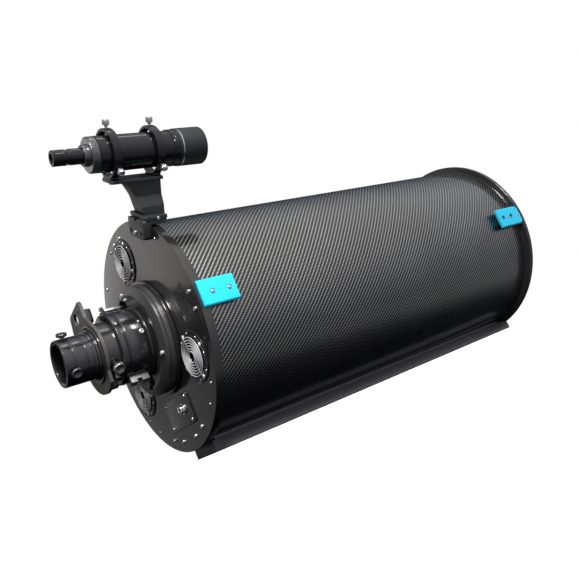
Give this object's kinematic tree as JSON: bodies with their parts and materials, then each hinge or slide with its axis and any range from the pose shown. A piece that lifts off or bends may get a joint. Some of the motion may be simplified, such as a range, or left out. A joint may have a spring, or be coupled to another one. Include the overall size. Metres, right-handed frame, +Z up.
{
  "type": "telescope optical tube",
  "caption": "Carbon-fibre astrograph tube with rear focuser, cooling fans, side finder scope and dovetail rail.",
  "frame": {"origin": "centre of the dovetail rail's flat bottom face", "axes": "+X along the optical axis towards the sky, +Y to the left seen from the rear, +Z up away from the dovetail rail"},
  "size_m": [0.946, 0.4206, 0.4869],
  "materials": {
    "carbon": "clear-coated twill carbon fibre",
    "black_anodised": "satin black anodised",
    "teal_anodised": "satin teal anodised",
    "bright_steel": "bright stainless",
    "bracket_metal": "dark bronze anodised",
    "finder_black": "satin black",
    "black_plastic": "moulded black",
    "mirror": "aluminised first-surface mirror",
    "lens_glass": "coated lens"
  },
  "bodies": {
    "tube_assembly": {"carbon_tube": "carbon", "rear_plate": "black_anodised", "front_ring": "black_anodised", "mirror_cell": "black_anodised", "primary_mirror": "mirror", "corrector_cell": "black_anodised", "corrector_lens_rear": "lens_glass", "corrector_lens_front": "lens_glass", "primary_baffle": "black_anodised", "spider": "black_anodised", "secondary_cell": "black_anodised", "secondary_mirror": "mirror", "dovetail_rail": "black_anodised", "rail_pad_rear": "black_anodised", "rail_pad_front": "black_anodised", "rear_bracket_left": "teal_anodised", "front_bracket_left": "teal_anodised", "rear_bracket_right": "teal_anodised", "front_bracket_right": "teal_anodised", "fan_cover_1": "black_anodised", "fan_frame_1": "black_plastic", "fan_guard_1": "bright_steel", "fan_cover_2": "black_anodised", "fan_frame_2": "black_plastic", "fan_guard_2": "bright_steel", "fan_cover_3": "black_anodised", "fan_frame_3": "black_plastic", "fan_guard_3": "bright_steel", "electronics_cover": "black_anodised", "focuser_adapter_plate": "black_anodised", "focuser_flange": "black_anodised", "focuser_body": "black_anodised", "motor_bracket": "bracket_metal", "tension_block": "bright_steel", "finder_foot": "finder_black", "finder_stalk": "finder_black", "finder_ring_bar": "finder_black", "finder_ring_rear": "finder_black", "finder_ring_front": "finder_black", "finder_tube": "finder_black", "finder_objective": "lens_glass", "finder_dew_shield": "finder_black", "finder_eyepiece_holder": "finder_black"},
    "fan_rotor_body_1": {"fan_rotor_1": "black_plastic"},
    "fan_rotor_body_2": {"fan_rotor_2": "black_plastic"},
    "fan_rotor_body_3": {"fan_rotor_3": "black_plastic"},
    "drawtube_body": {"drawtube": "black_anodised", "eyepiece_adapter": "black_anodised"},
    "drive_shaft_body": {"focus_drive_shaft": "bright_steel"},
    "adapter_thumbscrew_upper_body": {"adapter_thumbscrew_upper": "bright_steel"},
    "adapter_thumbscrew_lower_body": {"adapter_thumbscrew_lower": "bright_steel"},
    "lock_knob_body": {"drawtube_lock_knob": "black_plastic"},
    "finder_screw_rear_top_body": {"finder_screw_rear_top": "bright_steel"},
    "finder_screw_rear_near_body": {"finder_screw_rear_near": "bright_steel"},
    "finder_screw_rear_far_body": {"finder_screw_rear_far": "bright_steel"},
    "finder_screw_front_top_body": {"finder_screw_front_top": "bright_steel"},
    "finder_screw_front_near_body": {"finder_screw_front_near": "bright_steel"},
    "finder_screw_front_far_body": {"finder_screw_front_far": "bright_steel"},
    "eyepiece_body": {"finder_eyepiece": "finder_black"}
  },
  "joints": [
    {"name": "fan_1_spin", "type": "hinge", "parent": "tube_assembly", "child": "fan_rotor_body_1", "pos_m": [-0.3815, 0, 0.346], "axis": [1, 0, 0], "continuous": true},
    {"name": "fan_2_spin", "type": "hinge", "parent": "tube_assembly", "child": "fan_rotor_body_2", "pos_m": [-0.3815, -0.11865, 0.1405], "axis": [1, 0, 0], "continuous": true},
    {"name": "fan_3_spin", "type": "hinge", "parent": "tube_assembly", "child": "fan_rotor_body_3", "pos_m": [-0.3815, 0.11865, 0.1405], "axis": [1, 0, 0], "continuous": true},
    {"name": "drawtube_slide", "type": "slide", "parent": "tube_assembly", "child": "drawtube_body", "axis": [-1, 0, 0], "range_m": [0, 0.033]},
    {"name": "focus_drive_turn", "type": "hinge", "parent": "tube_assembly", "child": "drive_shaft_body", "pos_m": [-0.4385, 0.014, 0.2755], "axis": [1, 0, 0], "range_deg": [0, 1080]},
    {"name": "adapter_thumbscrew_upper_turn", "type": "hinge", "parent": "drawtube_body", "child": "adapter_thumbscrew_upper_body", "pos_m": [-0.5465, -0.02113, 0.24873], "axis": [0, -0.4695, 0.8829], "range_deg": [-360, 360]},
    {"name": "adapter_thumbscrew_lower_turn", "type": "hinge", "parent": "drawtube_body", "child": "adapter_thumbscrew_lower_body", "pos_m": [-0.5465, -0.03546, 0.1813], "axis": [0, -0.788, -0.6157], "range_deg": [-360, 360]},
    {"name": "drawtube_lock_turn", "type": "hinge", "parent": "tube_assembly", "child": "lock_knob_body", "pos_m": [-0.489, -0.04528, 0.16964], "axis": [0, -0.7547, -0.6561], "range_deg": [-360, 360]},
    {"name": "finder_screw_rear_top_turn", "type": "hinge", "parent": "tube_assembly", "child": "finder_screw_rear_top_body", "pos_m": [-0.4485, -0.21056, 0.4785], "axis": [0, -0.6157, 0.788], "range_deg": [-360, 360]},
    {"name": "finder_screw_rear_near_turn", "type": "hinge", "parent": "tube_assembly", "child": "finder_screw_rear_near_body", "pos_m": [-0.4485, -0.20091, 0.40989], "axis": [0, -0.3746, -0.9272], "range_deg": [-360, 360]},
    {"name": "finder_screw_rear_far_turn", "type": "hinge", "parent": "tube_assembly", "child": "finder_screw_rear_far_body", "pos_m": [-0.4485, -0.14632, 0.45255], "axis": [0, 0.9903, 0.1392], "range_deg": [-360, 360]},
    {"name": "finder_screw_front_top_turn", "type": "hinge", "parent": "tube_assembly", "child": "finder_screw_front_top_body", "pos_m": [-0.3815, -0.21056, 0.4785], "axis": [0, -0.6157, 0.788], "range_deg": [-360, 360]},
    {"name": "finder_screw_front_near_turn", "type": "hinge", "parent": "tube_assembly", "child": "finder_screw_front_near_body", "pos_m": [-0.3815, -0.20091, 0.40989], "axis": [0, -0.3746, -0.9272], "range_deg": [-360, 360]},
    {"name": "finder_screw_front_far_turn", "type": "hinge", "parent": "tube_assembly", "child": "finder_screw_front_far_body", "pos_m": [-0.3815, -0.14632, 0.45255], "axis": [0, 0.9903, 0.1392], "range_deg": [-360, 360]},
    {"name": "finder_eyepiece_slide", "type": "slide", "parent": "tube_assembly", "child": "eyepiece_body", "axis": [-1, 0, 0], "range_m": [0, 0.01]}
  ],
  "couplings": [
    {"joint": "focus_drive_turn", "follows": "drawtube_slide", "rad_per_m": 571.2}
  ]
}
